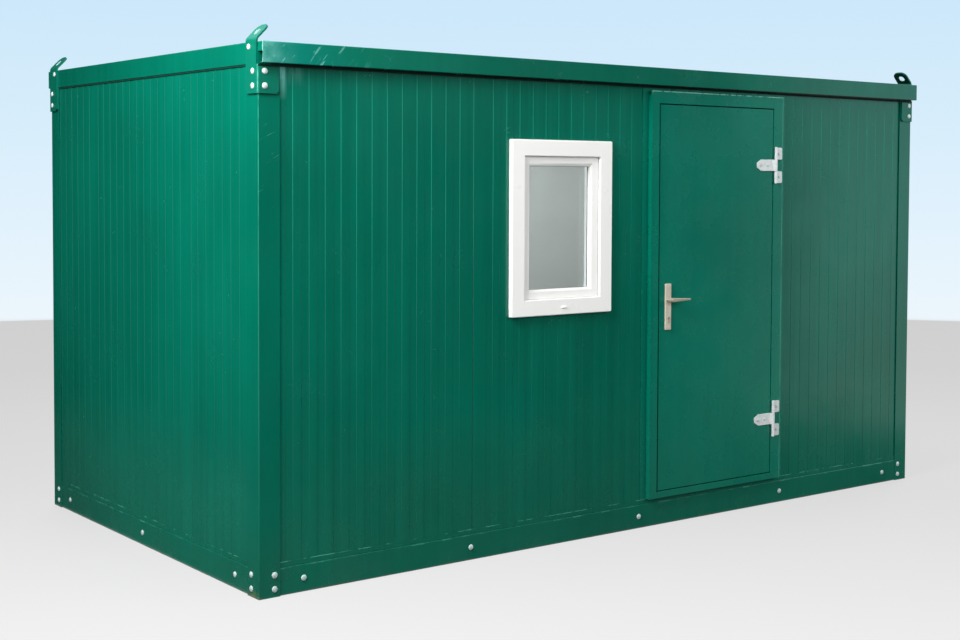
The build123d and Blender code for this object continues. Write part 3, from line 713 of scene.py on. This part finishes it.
# A face's turn: outwards is one, the shoulders lean and the lining looks inwards.
inwards = -0.9
leaning = (0.3, 0.95)
for node in frame["nodes"]:
    if "_panel_" not in node or node.startswith("roof"):
        continue
    low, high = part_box(node)
    across = 0 if high.x - low.x > high.y - low.y else 1
    through = 1 - across
    outward = 1 if low[through] + high[through] > 0 else -1
    outer_face = high[through] if outward > 0 else low[through]
    shape = merged(node)
    corners = []
    for edge in shape.edges:
        first, second = (vert.co for vert in edge.verts)
        upright = abs(first.z - second.z) > tall_edge
        at_face = abs(first[through] - outer_face) < at_plane
        at_side = min(abs(first[across] - low[across]), abs(first[across] - high[across])) < at_plane
        if upright and at_face and at_side:
            corners.append(edge)
    ease_edges(shape, corners, joint_ease, 1)
    shape.normal_update()
    for face in shape.faces:
        facing = face.normal[through] * outward
        if facing < inwards:
            face.material_index = 2
        elif leaning[0] < facing < leaning[1]:
            face.material_index = 1
    dress(shape, node, [coil_coat, rib_shoulder, lining])


# ---------------------------------------------------------------- wall head seals
# Dark foam strip pressed in under the gutter and the end rails, where the panels end.
# It closes the gap along the wall heads, and its dark tone paints the shadow there.
def block(shape, low, high):
    """Add a closed box between two corners to a shape."""
    for vert in bmesh.ops.create_cube(shape, size=1.0)["verts"]:
        vert.co = [low[i] + (high[i] - low[i]) * (vert.co[i] + 0.5) for i in range(3)]


def raise_piece(name, shape, materials, body, bevel=0.0):
    """Make a new piece of the object from a finished shape."""
    if bevel:
        ease_edges(shape, sharp_edges(shape), bevel)
    piece = smooth_piece(name, shape, materials)
    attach(piece, body)
    return piece


# Foam tape, green-black as painted shadow, with a fine rough texture.
foam_tape = plain_finish("dark_foam_tape_painted_shade", "#0D2821", "#12332A", scale=120.0, roughness=0.9, bump=0.3)
head_z = 2.208
seal_ease = 0.0008
# Half the length of each strip, how far out its face and back lie, and how tall it is.
long_seal = (2.118, 1.1345, 1.1295, 0.009)
end_seal = (1.128, 2.1240, 2.1195, 0.005)
shape = bmesh.new()
for side in (-1, 1):
    reach, face, back, tall = long_seal
    near, far = sorted((side * face, side * back))
    block(shape, (-reach, near, head_z - tall), (reach, far, head_z))
    reach, face, back, tall = end_seal
    near, far = sorted((side * face, side * back))
    block(shape, (near, -reach, head_z - tall), (far, reach, head_z))
raise_piece("wall_head_seals_painted_shade", shape, [foam_tape], "cabin", seal_ease)


# ---------------------------------------------------------------- gutters
# Folded gutter and roof beam in one, in the frame's enamel. Slings have scuffed the
# left end of the front one pale, and its cut end is chipped.
gutter_face = ("Y", -1.1740, -1.1725)


def sling_scuffs(tree, place):
    """A pale rubbed patch and slanting scratches at the front gutter's left end."""
    reach = along(tree, place, "X", -2.11, -1.93)
    patch = product(tree, reach, reach, flecks(tree, place, 16.0, 0.2, 0.7), 0.42)
    lines = scratches(tree, place, -40, 0.60, 0.68, (60.0, 1.0, 7.0))
    lines = product(tree, lines, along(tree, place, "X", -1.80, -1.60), 0.55)
    return product(tree, along(tree, place, *gutter_face), either(tree, patch, lines))


def gutter_painted_reflection(tree, place):
    """A lighter, bluer band round the scuffs: a painted sky reflection on the gutter face."""
    return product(tree, along(tree, place, *gutter_face), along(tree, place, "X", -1.95, -1.66))


def cut_end_chips(tree, place):
    """Pale chips along the cut left end of the gutter's face."""
    left = along(tree, place, "X", -2.1240, -2.1225)
    front = along(tree, place, "Y", -1.1705, -1.1690)
    return product(tree, left, front, flecks(tree, place, 60.0, 0.42, 0.54), 0.6)


gutter_enamel = green_paint("scuffed_gutter_enamel", *enamel_tones, roughness=0.22, wave=0.25)
wear_through(gutter_enamel, gutter_painted_reflection, "#006C5E", 0.22)
wear_through(gutter_enamel, sling_scuffs, "#7CC6BE", 0.5)
wear_through(gutter_enamel, cut_end_chips, "#8FC0B0", 0.55)
for node in ("gutter_front", "gutter_back"):
    finish_node(node, gutter_enamel)

# ---------------------------------------------------------------- end roof rails
# Folded rails across the ends, level with the gutters, in the same gloss enamel. They
# cover the outer sides of the first and last roof panels.
for node in ("roof_rail_left", "roof_rail_right"):
    finish_node(node, frame_enamel)

# ---------------------------------------------------------------- roof panels
# Foam filled panels with trapezoid ribs and the walls' coil coat above, which
# weather dulls, and the walls' lining below.
roof_coat = green_paint(
    "weathered_roof_coat", "#005343", "#0A634F",
    roughness=0.42, wave=0.3, streaks=0.3, dust=0.4, dust_top=4.0,
)
roof_under = 2.23
for node in frame["nodes"]:
    if node.startswith("roof_panel"):
        shape = merged(node)
        shape.normal_update()
        for face in shape.faces:
            if face.normal.z < inwards and face.calc_center_median().z < roof_under:
                face.material_index = 1
        dress(shape, node, [roof_coat, lining])


# ---------------------------------------------------------------- door frame
# Pressed steel jambs, head and sill in satin enamel with a stop behind the leaf. The
# front edge of the head is chipped along the gutter.
frame_face = ("Y", -1.1555, -1.1545)


def head_chips(tree, place):
    """Chips along the top front edge of the frame and down its left corner."""
    rim = along(tree, place, "Z", 2.1820, 2.1805)
    corner = product(tree, along(tree, place, "X", 0.0545, 0.0560), along(tree, place, "Z", 2.172, 2.160))
    chips = flecks(tree, place, 26.0, 0.40, 0.50)
    return product(tree, along(tree, place, *frame_face), either(tree, rim, corner), chips)


def jamb_edge_painted_highlight(tree, place):
    """Painted highlight along the rounded right edge of the frame, broken in patches."""
    front = along(tree, place, *frame_face)
    edge = along(tree, place, "X", 1.0035, 1.0015)
    return product(tree, front, edge, flecks(tree, place, 14.0, 0.3, 0.5, (1.0, 1.0, 0.3)), 0.6)


satin = {"roughness": 0.26, "streaks": 0.3, "dust": 0.12, "dust_top": 0.7}
door_enamel = green_paint("satin_door_enamel", "#006150", "#006E5A", wave=0.5, **satin)
frame_satin = green_paint("satin_door_frame_enamel", "#006150", "#006E5A", wave=0.4, **satin)
wear_through(frame_satin, jamb_edge_painted_highlight, "#4A9C86", 0.4)
wear_through(frame_satin, head_chips, "#7FB8A4", 0.5)
door_ease = 0.0015
for node in ("door_jamb_left", "door_jamb_right", "door_head", "door_sill"):
    finish_node(node, frame_satin, door_ease)


# A hollow black rubber bead on the stop seals all four sides of the leaf.
def bead(name, body, material, box, inset, y, radius):
    """A round bead with mitred corners, set in from the sides of a piece's box."""
    low, high = box
    across = (low.x + inset, high.x - inset, high.x - inset, low.x + inset)
    upward = (low.z + inset, low.z + inset, high.z - inset, high.z - inset)
    curve = bpy.data.curves.new(name, "CURVE")
    curve.dimensions = "3D"
    curve.bevel_depth = radius
    curve.bevel_resolution = 3
    spline = curve.splines.new("POLY")
    spline.points.add(3)
    for point, x, z in zip(spline.points, across, upward):
        point.co = (x, y, z, 1.0)
    spline.use_cyclic_u = True
    line = bpy.data.objects.new(name + "_line", curve)
    mesh = bpy.data.meshes.new_from_object(line)
    bpy.data.objects.remove(line)
    mesh.name = name
    mesh.materials.clear()
    mesh.materials.append(material)
    mesh.shade_smooth()
    piece = placed(name, mesh)
    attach(piece, body)


# Sponge rubber: dull black that greys with dust.
seal_rubber = plain_finish(
    "black_sponge_rubber", "#141615", "#232624", scale=40.0, roughness=0.85, bump=0.3
)
leaf_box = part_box("door_leaf")
seal_gap = 0.0055
seal_radius = 0.0024
seal_inset = 0.006
seal_y = leaf_box[1].y + seal_gap - seal_radius
bead("door_seal", "cabin", seal_rubber, leaf_box, seal_inset, seal_y, seal_radius)

# ---------------------------------------------------------------- door leaf
# A flat folded steel leaf with foam inside, in satin enamel, slightly wavy. It hangs on
# two hinges at its right side and opens outwards.
finish_node("door_leaf", door_enamel, door_ease)

# ---------------------------------------------------------------- hinges
# Two galvanised tee hinges with a tapered strap on the leaf and two wings on the
# frame. Thick dip zinc gives them a pale, mottled, rather rough face.
hinge_zinc = plain_finish(
    "dip_galvanised_zinc", "#D8DEDD", "#F0F3F2",
    scale=55.0, roughness=0.45, bump=0.6, metallic=0.25, spread=0.12,
)
metal_ease = 0.0006
for node in ("hinge_straps", "hinge_wings"):
    finish_node(node, hinge_zinc, metal_ease, 1)

# ---------------------------------------------------------------- door handle
# Lever handles on long plates in satin nickel, with a nickelled brass cylinder. The
# plates are screwed through the leaf, and both levers share a spindle.
satin_nickel = plain_finish(
    "satin_nickel_plate", "#D2C6B2", "#E6DCCB",
    scale=30.0, roughness=0.38, bump=0.1, metallic=0.3, spread=0.05,
)
finish_node("handle_plates", satin_nickel)
# Hands keep the grips darker and glossier than the plates.
grip_nickel = plain_finish(
    "rubbed_nickel_grip", "#B0A894", "#CBC3B0",
    scale=30.0, roughness=0.32, bump=0.1, metallic=0.4, spread=0.05,
)
for node in ("lever_outer", "lever_inner"):
    finish_node(node, grip_nickel)
lock_brass = plain_finish(
    "nickelled_brass", "#C4B7A0", "#D8CCB8",
    scale=60.0, roughness=0.36, bump=0.1, metallic=0.5, spread=0.05,
)
finish_node("lock_cylinder", lock_brass, metal_ease)

# ---------------------------------------------------------------- window frame
# Welded white PVC-U profile: a flat outer frame clamped on the panel and a sash set
# back behind its lip, both with the soft corners of an extrusion.
window_vinyl = plain_finish(
    "white_window_vinyl", "#F1F1EE", "#F4F4F1", scale=3.0, roughness=0.3, bump=0.03, spread=0.04
)
vinyl_ease = 0.001
for node in ("window_frame", "window_sash"):
    finish_node(node, window_vinyl, vinyl_ease)

# Grey gaskets close the gap round the sash, and darker ones bed the pane.
soft_rubber = {"scale": 30.0, "roughness": 0.7, "bump": 0.1}
gasket_rubber = plain_finish("grey_window_gasket", "#5E6260", "#727674", **soft_rubber)
glazing_rubber = plain_finish("dark_glazing_gasket", "#2A2E2C", "#3A3E3C", **soft_rubber)
sash_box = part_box("window_sash")
glass_low, glass_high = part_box("window_glass")
# Each gasket: its rubber, the box it follows, how far in and how proud it lies, its radius.
for name, rubber, box, inset, proud, radius in (
    ("sash_gasket", gasket_rubber, sash_box, 0.0145, 0.0006, 0.0014),
    ("glazing_gasket", glazing_rubber, (glass_low, glass_high), 0.012, 0.0012, 0.0024),
):
    bead(name, "cabin", rubber, box, inset, box[0].y - proud, radius)

# ---------------------------------------------------------------- window panes
# A sealed unit: two sheets of float glass held apart by a white spacer bar, bedded on
# gaskets in the sash from the room side.
# Float glass: clear, faintly green, with a thin film of dust that veils it a little.
float_glass, tree = bare_material("clear_float_glass")
place = add_node(tree, "ShaderNodeTexCoord").outputs["Object"]
film = add_node(tree, "ShaderNodeTexNoise", {"Vector": place, "Scale": 9.0, "Detail": 4.0})
veil = add_node(tree, "ShaderNodeMapRange", {0: film, 1: 0.3, 2: 0.75, 3: 0.01, 4: 0.05})
finish_off(
    tree, {"Base Color": linear("#F1F6F6"), "Roughness": veil, "Transmission Weight": 1.0, "IOR": 1.5}
)
sheet = 0.004
sheet_ease = 0.0004
pane_inset = 0.001
pane_left = glass_low.x + pane_inset
pane_right = glass_high.x - pane_inset
pane_foot = glass_low.z + pane_inset
pane_head = glass_high.z - pane_inset
for name, front_y in (("window_pane_outer", glass_low.y), ("window_pane_inner", glass_high.y - sheet)):
    shape = bmesh.new()
    block(shape, (pane_left, front_y, pane_foot), (pane_right, front_y + sheet, pane_head))
    pane = raise_piece(name, shape, [float_glass], "cabin", sheet_ease)
    if name == "window_pane_outer":
        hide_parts("window_glass")
# White warm edge spacer: matt, with a faint glow of painted light in place of the light that the panes keep
# from it.
spacer_white = plain_finish(
    "white_warm_edge_spacer", "#F2F4F3", "#FAFBFA", scale=80.0, roughness=0.5, bump=0.1
)
spacer_shader = spacer_white.node_tree.nodes["paint"]
spacer_shader.inputs["Emission Color"].default_value = linear("#F2F8F6")
spacer_shader.inputs["Emission Strength"].default_value = 0.6
spacer_width = 0.0115
bar_left = glass_low.x + spacer_width
bar_right = glass_high.x - spacer_width
bar_foot = glass_low.z + spacer_width
bar_head = glass_high.z - spacer_width
shape = bmesh.new()
for low_x, high_x, low_z, high_z in (
    (pane_left, bar_left, pane_foot, pane_head),
    (bar_right, pane_right, pane_foot, pane_head),
    (bar_left, bar_right, pane_foot, bar_foot),
    (bar_left, bar_right, bar_head, pane_head),
):
    block(shape, (low_x, glass_low.y + sheet, low_z), (high_x, glass_high.y - sheet, high_z))
raise_piece("window_spacer", shape, [spacer_white], "cabin")

# A white snap-on cap hoods the drain slot in the bottom of the frame.
cap_place = Vector((-0.509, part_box("window_frame")[0].y, 1.136))
cap_half = Vector((0.017, 0.006, 0.0055))
cap_square = 0.7
shape = bmesh.new()
bmesh.ops.create_uvsphere(shape, u_segments=24, v_segments=12, radius=1.0)
for vert in shape.verts:
    for i in range(3):
        bulge = math.copysign(abs(vert.co[i]) ** cap_square, vert.co[i])
        vert.co[i] = cap_place[i] + cap_half[i] * bulge
raise_piece("drain_cap", shape, [window_vinyl], "cabin")

# ---------------------------------------------------------------- bolts
# Mushroom head bolts in bright zinc through the posts, rails and lifting plates, and
# smaller ones through the hinges. Each dome is pressed, round and a little uneven.
bolt_heads = bpy.data.node_groups.new("mushroom_bolt_heads", "GeometryNodeTree")
bolt_sockets = {}
for label, kind in (
    ("Places", "NodeSocketGeometry"),
    ("Head radius", "NodeSocketFloat"),
    ("Dome height", "NodeSocketFloat"),
    ("Finish", "NodeSocketMaterial"),
):
    made = bolt_heads.interface.new_socket(label, in_out="INPUT", socket_type=kind)
    bolt_sockets[label] = made.identifier
bolt_heads.interface.new_socket("Bolts", in_out="OUTPUT", socket_type="NodeSocketGeometry")
given = add_node(bolt_heads, "NodeGroupInput")
ball = add_node(bolt_heads, "GeometryNodeMeshUVSphere", {"Segments": 20, "Rings": 12, "Radius": 1.0})
where = add_node(bolt_heads, "GeometryNodeInputPosition")
parts = add_node(bolt_heads, "ShaderNodeSeparateXYZ", {0: where})
wide = product(bolt_heads, parts.outputs["X"], given.outputs["Head radius"])
deep = product(bolt_heads, parts.outputs["Y"], given.outputs["Head radius"])
domed = product(bolt_heads, parts.outputs["Z"], given.outputs["Dome height"])
seat = -0.0002
pressed = add_node(
    bolt_heads, "ShaderNodeCombineXYZ", {0: wide, 1: deep, 2: either(bolt_heads, domed, seat)}
)
head = add_node(bolt_heads, "GeometryNodeSetPosition", {"Geometry": ball, "Position": pressed})
facing = add_node(
    bolt_heads, "GeometryNodeInputNamedAttribute", {"Name": "facing"}, data_type="FLOAT_VECTOR"
)
turned = add_node(bolt_heads, "FunctionNodeAlignRotationToVector", {"Vector": facing}, axis="Z")
size = add_node(
    bolt_heads,
    "FunctionNodeRandomValue",
    {"Min": (0.97, 0.97, 0.88), "Max": (1.03, 1.03, 1.08), "Seed": 7},
    data_type="FLOAT_VECTOR",
)
spots = add_node(bolt_heads, "GeometryNodeMeshToPoints", {"Mesh": given.outputs["Places"]})
heads = add_node(
    bolt_heads,
    "GeometryNodeInstanceOnPoints",
    {"Points": spots, "Instance": head, "Rotation": turned, "Scale": size},
)
joined = add_node(bolt_heads, "GeometryNodeRealizeInstances", {0: heads})
shaded = add_node(bolt_heads, "GeometryNodeSetShadeSmooth", {0: joined})
coated = add_node(
    bolt_heads, "GeometryNodeSetMaterial", {"Geometry": shaded, "Material": given.outputs["Finish"]}
)
add_node(bolt_heads, "NodeGroupOutput", {0: coated})


def bolts(name, body, places, radius, height, finish):
    """Bolt heads at the places, each given with the direction that it faces."""
    points = bpy.data.meshes.new(name + "_places")
    points.from_pydata([place for place, _ in places], [], [])
    facing = points.attributes.new("facing", "FLOAT_VECTOR", "POINT")
    facing.data.foreach_set("vector", [value for _, way in places for value in way])
    holder = placed(name + "_places", points)
    modifier = holder.modifiers.new("bolt heads", "NODES")
    modifier.node_group = bolt_heads
    modifier[bolt_sockets["Head radius"]] = radius
    modifier[bolt_sockets["Dome height"]] = height
    modifier[bolt_sockets["Finish"]] = finish
    graph = bpy.context.evaluated_depsgraph_get()
    mesh = bpy.data.meshes.new_from_object(holder.evaluated_get(graph))
    bpy.data.objects.remove(holder)
    mesh.name = name
    piece = placed(name, mesh)
    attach(piece, body)


# Bright zinc plate: a smooth, slightly blue shine with dull spots.
bolt_zinc = plain_finish(
    "bright_zinc_plate", "#BDD0CA", "#DCEBE6",
    scale=70.0, roughness=0.4, bump=0.2, metallic=0.35, spread=0.1,
)
half_length = 2.125
half_width = 1.135
proud = 0.008
sunk = -0.003
rail_row = 0.060
# Each corner's bolts: the face they are in, how far along, how far out and how high.
corner_bolts = (
    ("side", 2.052, 0.0, 0.034),
    ("end", 1.069, 0.0, 0.034),
    ("side", 2.052, 0.0, 0.093),
    ("end", 1.069, 0.0, 0.093),
    ("side", 2.098, proud, 2.118),
    ("end", 1.103, proud, 2.118),
    ("side", 2.098, proud, 2.178),
    ("end", 1.103, proud, 2.178),
    ("end", 1.070, proud, 2.2785),
    ("end", 0.918, sunk, 0.061),
    ("side", 1.038, sunk, rail_row),
    ("side", 1.912, sunk, rail_row),
)
places = []
for side in (-1, 1):
    for front in (-1, 1):
        for face, reach, out, z in corner_bolts:
            if face == "side":
                places.append(((side * reach, front * (half_width + out), z), (0, front, 0)))
            else:
                places.append(((side * (half_length + out), front * reach, z), (side, 0, 0)))
    places.append(((0.004, side * (half_width + sunk), rail_row), (0, side, 0)))
    places.append(((side * (half_length + sunk), 0.018, rail_row), (side, 0, 0)))
frame_bolt = (0.0133, 0.0062)
bolts("frame_bolts", "cabin", places, *frame_bolt, bolt_zinc)

hinge_bolt = (0.0085, 0.004)
metal_proud = 0.005
strap_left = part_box("hinge_straps")[0].x
wing_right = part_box("hinge_wings")[1].x
strap_face = leaf_box[0].y - metal_proud
wing_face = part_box("door_head")[0].y - metal_proud
hinge_rows = (0.4685, 1.823)
strap_reach = (0.026, 0.078)
wing_inset = 0.024
wing_reach = 0.061
strap_places = []
wing_places = []
for z in hinge_rows:
    for reach in strap_reach:
        strap_places.append(((strap_left + reach, strap_face, z), (0, -1, 0)))
    for side in (-1, 1):
        wing_places.append(((wing_right - wing_inset, wing_face, z + side * wing_reach), (0, -1, 0)))
bolts("strap_bolts", "door", strap_places, *hinge_bolt, bolt_zinc)
bolts("wing_bolts", "cabin", wing_places, *hinge_bolt, bolt_zinc)

# Low headed screws hold the handle plates at top and bottom.
plate_low, plate_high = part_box("handle_plates")
plate_x = (plate_low.x + plate_high.x) / 2
screw_inset = 0.014
screw_head = (0.0042, 0.0012)
screw_places = []
for z in (plate_low.z + screw_inset, plate_high.z - screw_inset):
    screw_places.append(((plate_x, plate_low.y, z), (0, -1, 0)))
    screw_places.append(((plate_x, plate_high.y, z), (0, 1, 0)))
bolts("handle_screws", "door", screw_places, *screw_head, satin_nickel)

# A dark strip on each face of the cylinder paints the shade in its key way.
lock_low, lock_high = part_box("lock_cylinder")
slot_half = 0.0012
slot_proud = 0.0002
slot_foot = lock_low.z + 0.017
slot_top = lock_high.z - 0.004
shape = bmesh.new()
for face_y, out in ((lock_low.y, -1), (lock_high.y, 1)):
    near, far = sorted((face_y, face_y + out * slot_proud))
    block(shape, (plate_x - slot_half, near, slot_foot), (plate_x + slot_half, far, slot_top))
raise_piece("key_way_painted_shade", shape, [seal_rubber], "door")
